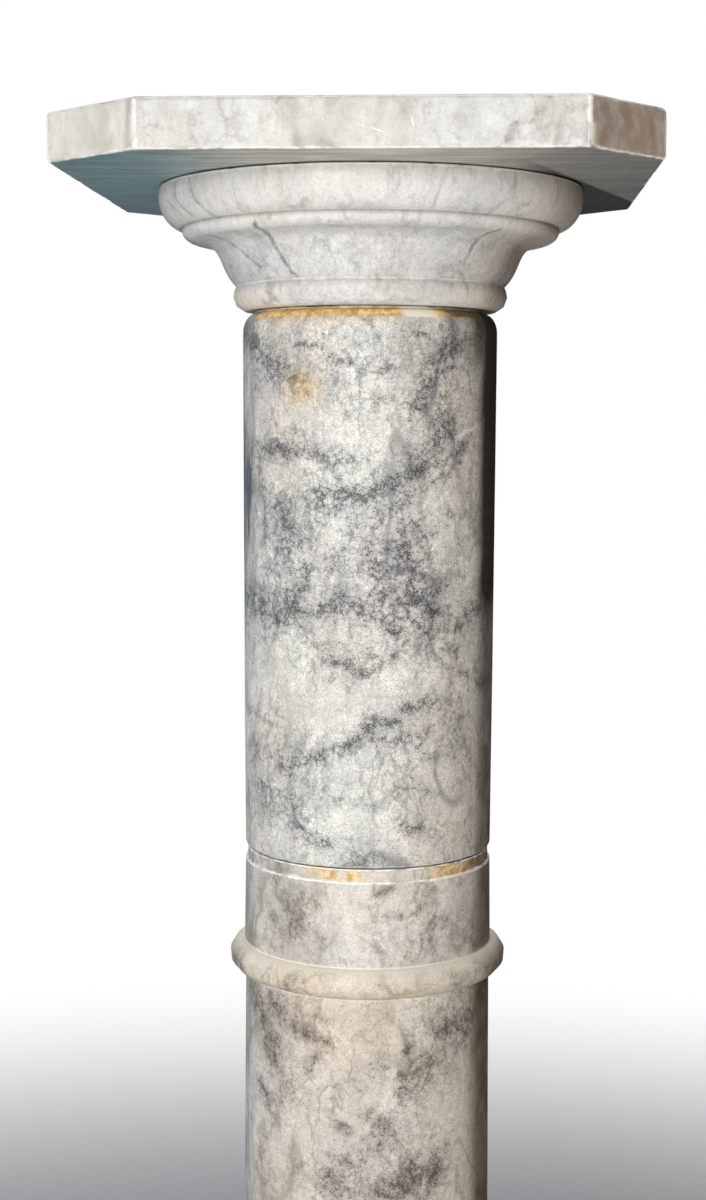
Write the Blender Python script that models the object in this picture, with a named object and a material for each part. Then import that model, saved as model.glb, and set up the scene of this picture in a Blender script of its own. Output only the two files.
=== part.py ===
"""Marble pedestal column: an octagonal slab on a turned capital, three turned shaft pieces, a foot and
a plinth.

Metres, +Z up. The origin is on the shaft's axis at the middle of the plinth's underside, and the front
of the column faces -Y. Every piece is stacked on the one below it, and every moulding stands out from
the shaft by its own named amount.
"""

import math

import bmesh
import bpy

# How finely the round work is cut, and the hair's breadth between pieces that rest on each other
SIDES = 56
ARC_STEPS = 6
BEAD_STEPS = 4
HOLLOW_STEPS = 8
RING_STEPS = 7
EASED_STEPS = 2
SHARP_EDGE = math.radians(35)
JOINT_GAP = 0.0003

# Shaft: its radius under the capital, what the upper drum loses and what the lower drum gains downwards
SHAFT_RADIUS = 0.0690
UPPER_DRUM_TAPER = 0.0012
LOWER_DRUM_SPREAD = 0.0022
UPPER_DRUM_HEIGHT = 0.2918
LOWER_DRUM_HEIGHT = 0.4502

# Upper drum: a low neck set back under the capital, a rounded shoulder and an eased foot
NECK_SETBACK = 0.0065
NECK_HEIGHT = 0.0014
SHOULDER_HEIGHT = 0.0102
DRUM_FOOT_ROUND = 0.0026

# Collar: a sunk band under the upper drum, a plain part that flares a little, and a half-round ring
SUNK_BAND_HEIGHT = 0.0064
SUNK_BAND_DEPTH = 0.0013
COLLAR_PLAIN_HEIGHT = 0.0464
COLLAR_FLARE = 0.0006
COLLAR_ARRIS = 0.0004
RING_RADIUS = 0.0081
RING_LEDGE = 0.0024

# Capital, from the slab down: quarter-round, bead, hollow and roll. A rise is the half height that a
# curve would have if it went all the way round; above and below are what is cut of it.
QUARTER_ROUND_PROJECTION = 0.0452
QUARTER_ROUND_DEPTH = 0.0144
QUARTER_ROUND_RISE = 0.0170
QUARTER_ROUND_ABOVE = 0.0050
QUARTER_ROUND_BELOW = 0.0163
QUARTER_ROUND_EASE = 0.0006
BEAD_PROJECTION = 0.0325
BEAD_DEPTH = 0.0072
BEAD_RISE = 0.0057
BEAD_ABOVE = 0.0014
BEAD_BELOW = 0.0054
BEAD_UNDERCUT = 0.0030
BEAD_UNDERCUT_DROP = 0.0004
HOLLOW_HEIGHT = 0.0239
HOLLOW_FOOT_PROJECTION = 0.0034
ROLL_PROJECTION = 0.0052
ROLL_DEPTH = 0.0100
ROLL_RISE = 0.0090
ROLL_ABOVE = 0.0049
ROLL_BELOW = 0.0079

# The hollow is a swept curve. Each pull is a share of its width and of its height.
HOLLOW_START_PULL = (0.72, 0.06)
HOLLOW_END_PULL = (0.50, 0.42)

# Top slab: how far it oversails the capital, and what is cut off its corners along the front or back
# and along the side
SLAB_OVERSAIL = 0.0358
SLAB_THICKNESS = 0.0250
SLAB_EDGE_ROUND = 0.0024
SLAB_SHIFT_X = -0.0029
SLAB_SHIFT_Y = -0.0026
FRONT_LEFT_CUT = (0.0506, 0.0436)
FRONT_RIGHT_CUT = (0.0386, 0.0427)
BACK_LEFT_CUT = (0.0435, 0.0440)
BACK_RIGHT_CUT = (0.0478, 0.0506)

# Foot of the column: a roll, a hollow, a fillet and a half-round ring on an octagonal plinth
FOOT_HOLLOW_HEIGHT = 0.0210
FOOT_HOLLOW_PULL = 0.55
FOOT_HOLLOW_PROJECTION = 0.0230
FOOT_FILLET_PROJECTION = 0.0260
FOOT_FILLET_HEIGHT = 0.0030
FOOT_RING_RADIUS = 0.0125
FOOT_RING_PROJECTION = 0.0370
FOOT_RING_START = 80
PLINTH_MARGIN = 0.0480
PLINTH_THICKNESS = 0.0360
PLINTH_CORNER_CUT = 0.0450
PLINTH_EDGE_ROUND = 0.0030


def clear_scene():
    """Empty the scene."""
    for thing in list(bpy.data.objects):
        bpy.data.objects.remove(thing, do_unlink=True)


def stone(name, colour, roughness):
    """A polished stone: one colour, no metal."""
    material = bpy.data.materials.new(name)
    material.use_nodes = True
    shader = material.node_tree.nodes["Principled BSDF"]
    shader.inputs["Base Color"].default_value = (*colour, 1.0)
    shader.inputs["Roughness"].default_value = roughness
    shader.inputs["Metallic"].default_value = 0.0
    return material


def arc(centre, reach, rise, start, end, steps=ARC_STEPS):
    """Points on an ellipse round (radius, height), from the start angle to the end angle in degrees."""
    points = []
    for step in range(steps + 1):
        angle = math.radians(start + (end - start) * step / steps)
        points.append((centre[0] + reach * math.cos(angle), centre[1] + rise * math.sin(angle)))
    return points


def swept_curve(start, start_pull, end_pull, end, steps=ARC_STEPS):
    """Points on a cubic curve that leaves start towards start_pull and reaches end from end_pull."""
    points = []
    for step in range(steps + 1):
        t = step / steps
        weights = ((1 - t) ** 3, 3 * t * (1 - t) ** 2, 3 * t * t * (1 - t), t ** 3)
        corners = (start, start_pull, end_pull, end)
        points.append(tuple(sum(w * c[i] for w, c in zip(weights, corners)) for i in (0, 1)))
    return points


def add_piece(name, shape, seat, material, centre=(0.0, 0.0)):
    """Turn a bmesh into a named object whose underside sits at the height of its seat."""
    bmesh.ops.recalc_face_normals(shape, faces=shape.faces)
    mesh = bpy.data.meshes.new(name)
    shape.to_mesh(mesh)
    shape.free()
    mesh.materials.append(material)
    piece = bpy.data.objects.new(name, mesh)
    piece.location = (centre[0], centre[1], seat)
    bpy.context.collection.objects.link(piece)
    return piece


def turned(name, outline, seat, material):
    """Spin an outline of (radius, height), top to bottom, round the shaft's axis into a closed solid."""
    shape = bmesh.new()
    closed = [(0.0, outline[0][1]), *outline, (0.0, outline[-1][1])]
    row = [shape.verts.new((radius, 0.0, height)) for radius, height in closed]
    edges = [shape.edges.new(pair) for pair in zip(row, row[1:])]
    bmesh.ops.spin(
        shape, geom=row + edges, cent=(0, 0, 0), axis=(0, 0, 1), angle=math.tau, steps=SIDES
    )
    bmesh.ops.remove_doubles(shape, verts=shape.verts, dist=1e-6)
    piece = add_piece(name, shape, seat, material)
    piece.data.shade_smooth()
    piece.data.set_sharp_from_angle(angle=SHARP_EDGE)
    return piece


def octagonal_slab(name, width, thickness, cuts, edge_round, seat, material, centre=(0.0, 0.0)):
    """A square slab with its corners cut off and its edges eased.

    Each cut is a length along X and one along Y, in the order front left, front right, back right and
    back left.
    """
    half = width / 2
    outline = []
    signs = ((-1, -1), (1, -1), (1, 1), (-1, 1))
    for (side_x, side_y), (along_x, along_y) in zip(signs, cuts):
        on_side = (side_x * half, side_y * (half - along_y))
        on_front = (side_x * (half - along_x), side_y * half)
        outline += [on_side, on_front] if side_x * side_y > 0 else [on_front, on_side]
    shape = bmesh.new()
    floor = shape.faces.new([shape.verts.new((x, y, 0.0)) for x, y in outline])
    grown = bmesh.ops.extrude_face_region(shape, geom=[floor])
    top = [part for part in grown["geom"] if isinstance(part, bmesh.types.BMVert)]
    bmesh.ops.translate(shape, verts=top, vec=(0, 0, thickness))
    bmesh.ops.recalc_face_normals(shape, faces=shape.faces)
    bmesh.ops.bevel(
        shape, geom=shape.edges[:], offset=edge_round, segments=EASED_STEPS, profile=0.5, affect="EDGES"
    )
    return add_piece(name, shape, seat, material, centre)


def bulge(radius, middle, depth, rise, above, below, steps=ARC_STEPS):
    """Points on a moulding whose widest place is at (radius, middle), from above it to below it."""
    start = math.degrees(math.asin(above / rise))
    end = math.degrees(math.asin(-below / rise))
    return arc((radius - depth, middle), depth, rise, start, end, steps)


def capital_height():
    """The capital from the slab down to the neck of the upper drum."""
    quarter_round = QUARTER_ROUND_ABOVE + QUARTER_ROUND_BELOW
    return quarter_round + BEAD_ABOVE + BEAD_BELOW + HOLLOW_HEIGHT + ROLL_ABOVE + ROLL_BELOW


def capital_outline():
    """Quarter-round, bead, hollow and roll, from the slab down."""
    middle = capital_height() - QUARTER_ROUND_ABOVE
    quarter_round = bulge(
        SHAFT_RADIUS + QUARTER_ROUND_PROJECTION, middle, QUARTER_ROUND_DEPTH, QUARTER_ROUND_RISE,
        QUARTER_ROUND_ABOVE - QUARTER_ROUND_EASE, QUARTER_ROUND_BELOW,
    )
    eased_top = (quarter_round[0][0] - QUARTER_ROUND_EASE, capital_height())

    middle -= QUARTER_ROUND_BELOW + BEAD_ABOVE
    bead_radius = SHAFT_RADIUS + BEAD_PROJECTION
    bead = bulge(bead_radius, middle, BEAD_DEPTH, BEAD_RISE, BEAD_ABOVE, BEAD_BELOW, BEAD_STEPS)

    hollow_top = middle - BEAD_BELOW
    start = (bead[-1][0] - BEAD_UNDERCUT, hollow_top - BEAD_UNDERCUT_DROP)
    end = (SHAFT_RADIUS + HOLLOW_FOOT_PROJECTION, hollow_top - HOLLOW_HEIGHT)
    width = start[0] - end[0]
    start_pull = (
        start[0] - HOLLOW_START_PULL[0] * width, start[1] - HOLLOW_START_PULL[1] * HOLLOW_HEIGHT
    )
    end_pull = (end[0] + HOLLOW_END_PULL[0] * width, end[1] + HOLLOW_END_PULL[1] * HOLLOW_HEIGHT)
    hollow = swept_curve(start, start_pull, end_pull, end, HOLLOW_STEPS)

    roll_radius = SHAFT_RADIUS + ROLL_PROJECTION
    roll = bulge(roll_radius, ROLL_BELOW, ROLL_DEPTH, ROLL_RISE, ROLL_ABOVE, ROLL_BELOW)
    return [eased_top, *quarter_round, *bead, *hollow, *roll]


def upper_drum_outline():
    """Neck, rounded shoulder, straight shaft and eased foot."""
    foot_radius = SHAFT_RADIUS - UPPER_DRUM_TAPER
    neck_radius = SHAFT_RADIUS - NECK_SETBACK
    shoulder_top = UPPER_DRUM_HEIGHT - NECK_HEIGHT
    shoulder_centre = (neck_radius, shoulder_top - SHOULDER_HEIGHT)
    foot_centre = (foot_radius - DRUM_FOOT_ROUND, DRUM_FOOT_ROUND)
    points = [(neck_radius, UPPER_DRUM_HEIGHT)]
    points += arc(shoulder_centre, NECK_SETBACK, SHOULDER_HEIGHT, 90, 0)
    points += arc(foot_centre, DRUM_FOOT_ROUND, DRUM_FOOT_ROUND, 0, -90, EASED_STEPS)
    return points


def collar_height():
    """The collar from the upper drum's foot down to the underside of its ring."""
    ring_above = math.sqrt(RING_RADIUS ** 2 - RING_LEDGE ** 2)
    return SUNK_BAND_HEIGHT + COLLAR_PLAIN_HEIGHT + ring_above + RING_RADIUS


def collar_outline():
    """Sunk band, plain part, narrow ledge and half-round ring."""
    top = collar_height()
    radius = SHAFT_RADIUS - UPPER_DRUM_TAPER
    foot_radius = radius + COLLAR_FLARE
    sunk_foot = top - SUNK_BAND_HEIGHT
    ledge_angle = math.degrees(math.acos(RING_LEDGE / RING_RADIUS))
    ring = arc((foot_radius, RING_RADIUS), RING_RADIUS, RING_RADIUS, ledge_angle, -90, RING_STEPS)
    return [
        (radius - SUNK_BAND_DEPTH, top),
        (radius - SUNK_BAND_DEPTH, sunk_foot),
        (radius - COLLAR_ARRIS, sunk_foot),
        (radius, sunk_foot - COLLAR_ARRIS),
        (foot_radius, ring[0][1]),
        *ring,
    ]


def lower_drum_outline():
    """Straight shaft with eased ends, a little wider at its foot."""
    top_radius = SHAFT_RADIUS - UPPER_DRUM_TAPER
    foot_radius = top_radius + LOWER_DRUM_SPREAD
    top_centre = (top_radius - DRUM_FOOT_ROUND, LOWER_DRUM_HEIGHT - DRUM_FOOT_ROUND)
    foot_centre = (foot_radius - DRUM_FOOT_ROUND, DRUM_FOOT_ROUND)
    points = arc(top_centre, DRUM_FOOT_ROUND, DRUM_FOOT_ROUND, 90, 0, EASED_STEPS)
    return points + arc(foot_centre, DRUM_FOOT_ROUND, DRUM_FOOT_ROUND, 0, -90, EASED_STEPS)


def foot_radius():
    """The lower drum's radius at its foot, which the mouldings below stand out from."""
    return SHAFT_RADIUS - UPPER_DRUM_TAPER + LOWER_DRUM_SPREAD


def base_height():
    """The base moulding from the lower drum down to the plinth."""
    roll_height = ROLL_ABOVE + ROLL_BELOW
    return roll_height + FOOT_HOLLOW_HEIGHT + FOOT_FILLET_HEIGHT + 2 * FOOT_RING_RADIUS


def base_outline():
    """Roll, hollow, fillet and half-round ring, from the shaft down."""
    shaft = foot_radius()
    roll_middle = base_height() - ROLL_BELOW
    roll_radius = shaft + ROLL_PROJECTION
    points = bulge(roll_radius, roll_middle, ROLL_DEPTH, ROLL_RISE, ROLL_BELOW, ROLL_ABOVE)

    hollow_top = roll_middle - ROLL_ABOVE
    hollow_foot = hollow_top - FOOT_HOLLOW_HEIGHT
    start = (shaft + HOLLOW_FOOT_PROJECTION, hollow_top)
    end = (shaft + FOOT_HOLLOW_PROJECTION, hollow_foot)
    start_pull = (start[0], hollow_top - FOOT_HOLLOW_PULL * FOOT_HOLLOW_HEIGHT)
    end_pull = (end[0] - FOOT_HOLLOW_PULL * (end[0] - start[0]), hollow_foot)
    points += swept_curve(start, start_pull, end_pull, end)

    fillet_radius = shaft + FOOT_FILLET_PROJECTION
    fillet_foot = hollow_foot - FOOT_FILLET_HEIGHT
    points += [(fillet_radius, hollow_foot), (fillet_radius, fillet_foot)]

    ring_centre = (shaft + FOOT_RING_PROJECTION - FOOT_RING_RADIUS, FOOT_RING_RADIUS)
    ring = arc(ring_centre, FOOT_RING_RADIUS, FOOT_RING_RADIUS, FOOT_RING_START, -90, RING_STEPS)
    return points + ring


def build():
    """Stack the pieces from the plinth up."""
    white = stone("White veined marble", (0.66, 0.65, 0.63), 0.32)
    grey = stone("Grey clouded marble", (0.55, 0.54, 0.52), 0.30)
    cream = stone("Cream grey marble", (0.60, 0.57, 0.52), 0.30)

    plinth_width = 2 * (foot_radius() + FOOT_RING_PROJECTION + PLINTH_MARGIN)
    plinth_cuts = [(PLINTH_CORNER_CUT, PLINTH_CORNER_CUT)] * 4
    octagonal_slab(
        "plinth", plinth_width, PLINTH_THICKNESS, plinth_cuts, PLINTH_EDGE_ROUND, 0.0, white
    )
    seat = PLINTH_THICKNESS + JOINT_GAP
    turned("base_moulding", base_outline(), seat, white)
    seat += base_height() + JOINT_GAP
    turned("lower_drum", lower_drum_outline(), seat, cream)
    seat += LOWER_DRUM_HEIGHT + JOINT_GAP
    turned("collar", collar_outline(), seat, cream)
    seat += collar_height() + JOINT_GAP
    turned("upper_drum", upper_drum_outline(), seat, grey)
    seat += UPPER_DRUM_HEIGHT + JOINT_GAP
    turned("capital", capital_outline(), seat, white)
    seat += capital_height() + JOINT_GAP
    slab_width = 2 * (SHAFT_RADIUS + QUARTER_ROUND_PROJECTION + SLAB_OVERSAIL)
    slab_cuts = (FRONT_LEFT_CUT, FRONT_RIGHT_CUT, BACK_RIGHT_CUT, BACK_LEFT_CUT)
    octagonal_slab(
        "top_slab", slab_width, SLAB_THICKNESS, slab_cuts, SLAB_EDGE_ROUND, seat, white,
        (SLAB_SHIFT_X, SLAB_SHIFT_Y),
    )


clear_scene()
build()
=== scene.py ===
# %% [markdown]
# # A marble pedestal column
# The real object is a free-standing column about a metre high that carries a bust or a plant. A
# mason cut it as seven stones: a plinth, a turned foot, a shaft in three lengths, a turned capital
# and an octagonal slab. This lesson dresses the measured model of those stones. It starts by loading
# that model, which is the fixed frame: every piece made here takes its place and its outline from it.

# %% Load the frame
import itertools

import bpy
import numpy as np
from mathutils import Matrix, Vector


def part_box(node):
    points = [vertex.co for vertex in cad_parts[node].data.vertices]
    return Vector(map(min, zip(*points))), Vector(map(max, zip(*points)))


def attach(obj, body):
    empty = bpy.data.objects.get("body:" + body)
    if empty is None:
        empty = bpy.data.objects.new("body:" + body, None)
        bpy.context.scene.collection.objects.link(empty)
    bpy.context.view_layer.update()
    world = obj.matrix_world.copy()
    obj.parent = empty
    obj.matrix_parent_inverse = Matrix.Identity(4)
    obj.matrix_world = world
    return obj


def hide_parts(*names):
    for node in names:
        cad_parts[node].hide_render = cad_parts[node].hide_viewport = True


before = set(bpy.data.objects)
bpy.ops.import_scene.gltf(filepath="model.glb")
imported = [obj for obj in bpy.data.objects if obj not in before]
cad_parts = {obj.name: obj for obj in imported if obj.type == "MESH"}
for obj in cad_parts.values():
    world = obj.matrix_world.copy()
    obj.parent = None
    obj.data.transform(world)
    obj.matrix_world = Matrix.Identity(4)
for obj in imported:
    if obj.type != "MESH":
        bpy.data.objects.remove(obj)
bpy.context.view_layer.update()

MM = 0.001

# %% [markdown]
# ## Chance that repeats
# Old stone is uneven everywhere: its faces are a little wavy, its edges are chipped here and there,
# and its veins wander. All of that needs random numbers that come out the same on each run. Each
# whole-number cell of space gets its own number from a mixing formula, and the values between the
# cells are blended, which gives smooth lumps of any size.

# %% Lumps and clouds


def cell_number(cell, seed):
    """A number from 0 to 1 for each cell: its three whole numbers times large odd constants, mixed."""
    x, y, z = np.moveaxis(cell, -1, 0)
    mixed = (x * 374761393 + y * 668265263 + z * 974634777 + seed * 362437) & 0xFFFFFFFF
    mixed = ((mixed ^ (mixed >> 13)) * 1274126177) & 0xFFFFFFFF
    return ((mixed ^ (mixed >> 16)) & 0xFFFFFF) / 0xFFFFFF


def lumps(points, size, seed):
    """Smooth lumps about `size` across: the eight corners of a cell blended by 3t^2 - 2t^3."""
    place = points / size
    cell = np.floor(place).astype(np.int64)
    t = place - cell
    t = t * t * (3 - 2 * t)
    total = np.zeros(points.shape[:-1])
    for corner in itertools.product((0, 1), repeat=3):
        weight = np.prod(np.where(np.array(corner) == 1, t, 1 - t), axis=-1)
        total += weight * cell_number(cell + np.array(corner), seed)
    return total


def clouds(points, size, seed, layers=3):
    """Lumps on lumps, each layer half the size and half the strength of the last, from 0 to 1."""
    total, strength = 0, 0
    for layer in range(layers):
        total = total + lumps(points, size / 2**layer, seed + layer) / 2**layer
        strength += 1 / 2**layer
    return total / strength


def soft_step(value, low, high):
    """0 below low, 1 above high, and 3t^2 - 2t^3 between."""
    t = np.clip((value - low) / (high - low), 0, 1)
    return t * t * (3 - 2 * t)


def soft_drop(value, low, high):
    """1 below low and 0 above high, the other way round from soft_step."""
    return 1 - soft_step(value, low, high)


def between(value, start, full, fading, gone):
    """0 before the start, 1 from full to fading, and 0 again when gone."""
    return soft_step(value, start, full) * soft_drop(value, fading, gone)


print("a few lumps:", np.round(lumps(np.array([[0.0, 0, 0], [0.01, 0, 0]]), 0.01, 1), 2))

# %% [markdown]
# ## A skin of rings
# Every stone here is closed and is swept by rings: the turned ones by circles, the slabs by
# octagons. So one helper covers them all. It takes a grid of rings from the top to the bottom, one
# more point in the middle of the top and of the bottom, and joins them with faces that point out.

# %% Rings into a mesh


def skin(name, rings, top, bottom):
    """Join rings[i, j] to its neighbours with four-sided faces and close both ends with a fan."""
    rows, around = rings.shape[:2]
    points = np.concatenate([rings.reshape(-1, 3), [top, bottom]])
    here = np.arange(rows * around).reshape(rows, around)
    after = np.roll(here, -1, axis=1)
    quads = np.stack([here[:-1], here[1:], after[1:], after[:-1]], axis=-1).reshape(-1)
    ends = np.full(around, rows * around)
    top_fan = np.stack([ends, here[0], after[0]], axis=-1)
    bottom_fan = np.stack([ends + 1, after[-1], here[-1]], axis=-1)
    lids = np.concatenate([top_fan, bottom_fan]).reshape(-1)
    starts = np.concatenate([np.arange(0, len(quads), 4), len(quads) + np.arange(0, len(lids), 3)])
    mesh = bpy.data.meshes.new(name)
    mesh.vertices.add(len(points))
    mesh.vertices.foreach_set("co", points.reshape(-1))
    mesh.loops.add(len(quads) + len(lids))
    mesh.loops.foreach_set("vertex_index", np.concatenate([quads, lids]))
    mesh.polygons.add(len(starts))
    mesh.polygons.foreach_set("loop_start", starts)
    mesh.polygons.foreach_set("use_smooth", np.ones(len(starts), bool))
    mesh.update(calc_edges=True)
    piece = bpy.data.objects.new(name, mesh)
    bpy.context.scene.collection.objects.link(piece)
    print(name, "has", len(quads) // 2 + len(lids) // 3, "triangles")
    return piece


def mark(piece, label, value):
    """Write one number for each ring point, such as wear, for the stone's material to read."""
    layer = piece.data.attributes.new(label, "FLOAT", "POINT")
    layer.data.foreach_set("value", np.append(value.reshape(-1), [0, 0]).astype(np.float32))


# %% [markdown]
# ## The outline of a turned stone
# A mason turns a capital or a drum against a template, so one outline tells its whole shape. The
# measured solid already holds that outline, as the edges that lie in one upright plane. It is read
# from there, and then made finer: a curve runs smoothly through its points, and each corner is eased
# by a fraction of a millimetre, because no edge of stone is a perfect corner and the eased edge is
# what catches the light.

# %% Read the outline off the measured solid


def outline_of(node):
    """(radius, height) from the top rim to the bottom rim, following edges in one upright plane."""
    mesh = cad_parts[node].data
    place = np.empty(len(mesh.vertices) * 3)
    mesh.vertices.foreach_get("co", place)
    place = place.reshape(-1, 3)
    pairs = np.empty(len(mesh.edges) * 2, int)
    mesh.edges.foreach_get("vertices", pairs)
    radius = np.hypot(place[:, 0], place[:, 1])
    turn = np.arctan2(place[:, 1], place[:, 0])
    in_plane = (np.abs(turn - turn[np.argmax(radius)]) < 0.002) & (radius > 0.5 * MM)
    rows = np.round(np.stack([radius, place[:, 2]], axis=-1), 6)
    spots, which = np.unique(rows[in_plane], axis=0, return_inverse=True)
    number = np.full(len(place), -1)
    number[in_plane] = which.reshape(-1)
    links = number[pairs.reshape(-1, 2)]
    links = np.unique(np.sort(links[(links >= 0).all(1) & (links[:, 0] != links[:, 1])], 1), axis=0)
    loose_ends = np.flatnonzero(np.bincount(links.reshape(-1)) == 1)
    path = [loose_ends[np.argmax(spots[loose_ends, 1])]]
    while len(path) < len(spots):
        touching = links[(links == path[-1]).any(1)].reshape(-1)
        path.append(next(spot for spot in touching if spot not in path))
    return spots[path]


print("the capital's outline has", len(outline_of("capital")), "points")

# %% Make the outline fine
CORNER = 35      # degrees: a sharper turn is a real edge or a quirk, a gentler one is part of a curve
EASE = 0.35 * MM


def along(points, distance):
    """Points on a smooth curve through `points`: cubic between each two, with shared slopes.

    The slope at a point is that of the line from the point before it to the one after, so a long
    straight stretch stays straight where a short curve joins it.
    """
    gaps = np.linalg.norm(np.diff(points, axis=0), axis=1)
    reach = np.concatenate([[0], np.cumsum(gaps)])
    chord = np.diff(points, axis=0)
    slope = np.concatenate([chord[:1] / gaps[0], chord[-1:] / gaps[-1]])
    if len(points) > 2:
        inner = (chord[:-1] + chord[1:]) / (gaps[:-1] + gaps[1:])[:, None]
        slope = np.concatenate([slope[:1], inner, slope[1:]])
        slope /= np.linalg.norm(slope, axis=1)[:, None]
    span = np.clip(np.searchsorted(reach, distance, "right") - 1, 0, len(gaps) - 1)
    t = ((distance - reach[span]) / gaps[span])[:, None]
    width = gaps[span][:, None]
    start, end = points[span], points[span + 1]
    return (
        start * (1 + 2 * t) * (1 - t) ** 2
        + slope[span] * width * t * (1 - t) ** 2
        + end * t**2 * (3 - 2 * t)
        + slope[span + 1] * width * t**2 * (t - 1)
    )


def fine_outline(outline, step):
    """Rows from the middle of the top to the middle of the bottom, and the corners among them.

    Runs between corners are filled every `step`, closer near a corner. A corner P is cut by the curve
    (1-t)^2 A + 2t(1-t) P + t^2 B between points A and B just before and after it.
    """
    path = np.vstack([[0, outline[0, 1]], outline, [0, outline[-1, 1]]])
    way = np.diff(path, axis=0)
    way /= np.linalg.norm(way, axis=1)[:, None]
    cross = way[:-1, 0] * way[1:, 1] - way[:-1, 1] * way[1:, 0]
    bend = np.degrees(np.arctan2(cross, (way[:-1] * way[1:]).sum(1)))
    at = 1 + np.flatnonzero(np.abs(bend) > CORNER)
    stops = [0, *at, len(path) - 1]
    parts = []
    for first, last in zip(stops, stops[1:]):
        run = path[first : last + 1]
        length = np.linalg.norm(np.diff(run, axis=0), axis=1).sum()
        hidden = first == 0 or last == len(path) - 1
        ease = min(EASE, 0.35 * length)
        spacing = 5 * MM if hidden else step
        even = np.linspace(ease, length - ease, max(3, int(length / spacing) + 1))
        close = ease * np.array([1.6, 2.6, 4.5])
        extra = np.concatenate([close, length - close])
        spots = np.unique(np.concatenate([even, extra[(extra > ease) & (extra < length - ease)]]))
        if first == 0:
            spots = spots[spots > 2 * MM]
        if last == len(path) - 1:
            spots = spots[spots < length - 2 * MM]
        parts.append(along(run, spots))
    rows = [parts[0]]
    t = np.array([[0.25], [0.5], [0.75]])
    for corner, part in zip(path[at], parts[1:]):
        start, end = rows[-1][-1], part[0]
        rows += [(1 - t) ** 2 * start + 2 * t * (1 - t) * corner + t**2 * end, part]
    outward = path[at[bend[at - 1] < 0]]
    inward = path[at[bend[at - 1] > 0]]
    return np.concatenate(rows), outward, inward


def nearness(rows, spots, reach):
    """1 at any of the spots, falling off as exp(-(distance / reach)^2)."""
    if len(spots) == 0:
        return np.zeros(len(rows))
    gap = np.linalg.norm(rows[:, None] - spots[None], axis=-1).min(1)
    return np.exp(-((gap / reach) ** 2))


# %% [markdown]
# ## Turned stones
# The fine outline is carried round the axis. A lathe would leave it perfect, so the surface is then
# let in a little, and never out: long shallow waves from the polishing, and small chips where an
# edge has been knocked. How near a point is to an edge or to a quirk is kept as a mark, because the
# material lightens the worn edges and paints shade into the quirks.

# %% A turned stone
WAVE = 0.12 * MM


def turned_stone(name, node, around, step, chip, seed):
    """Carry the outline round: (r cos a, r sin a, z), let in along the outline's outward side."""
    rows, edges, quirks = fine_outline(outline_of(node), step)
    slope = np.gradient(rows, axis=0)
    side = np.stack([-slope[:, 1], slope[:, 0]], axis=-1)
    side /= np.linalg.norm(side, axis=1)[:, None]
    turn = np.arange(around) * 2 * np.pi / around
    spin = np.stack([np.cos(turn), np.sin(turn)], axis=-1)

    def carried(pair):
        flat = pair[:, None, :1] * spin[None]
        tall = np.broadcast_to(pair[:, None, 1:], flat.shape[:2] + (1,))
        return np.concatenate([flat, tall], axis=-1)

    points, outward = carried(rows), carried(side)
    edge = nearness(rows, edges, 1.3 * MM)[:, None] * np.ones(around)
    quirk = nearness(rows, quirks, 1.4 * MM)[:, None] * np.ones(around)
    knocked = soft_step(clouds(points, 7 * MM, seed), 0.60, 0.74)
    depth = WAVE * clouds(points, 45 * MM, seed + 9, 2) + chip * edge * knocked
    points = points - outward * depth[..., None]
    low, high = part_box(node)
    piece = skin(name, points, (0, 0, high.z), (0, 0, low.z))
    mark(piece, "edge", edge * (1 - 0.5 * knocked))
    mark(piece, "quirk", quirk)
    mark(piece, "knock", edge * knocked)
    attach(piece, "root")
    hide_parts(node)
    return piece, points


# %% [markdown]
# ## Veins by brush
# The shaft's marble is crossed by dark, speckled bands. Their places matter for the likeness, so they
# are laid on like brush strokes over the unrolled stone: each has a width, a strength and a few
# turning points, given as degrees round from the front and millimetres up from the stone's foot.
# Lumpy noise pushes the strokes about, so that none of them shows a straight edge.

# %% Places on an unrolled stone
SHAFT_RADIUS, CAPITAL_RADIUS, SLAB_RADIUS = 69, 95, 152      # mm, about where each surface lies


def unrolled(points, node):
    """Degrees round from the front, and mm up from the stone's foot and down from its top."""
    low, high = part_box(node)
    angle = np.degrees(np.arctan2(points[..., 0], -points[..., 1]))
    return angle, (points[..., 2] - low.z) / MM, (high.z - points[..., 2]) / MM


def flank_of(points, node, side, start):
    """How far a point is round on one side, -1 left and 1 right, where painted shade darkens the shaft's
    edge.
    """
    angle = unrolled(points, node)[0] * side
    return between(angle, start, start + 14, 88, 106) * (0.7 + 0.6 * clouds(points, 11 * MM, 201))


# %% A brush for veins


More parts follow.
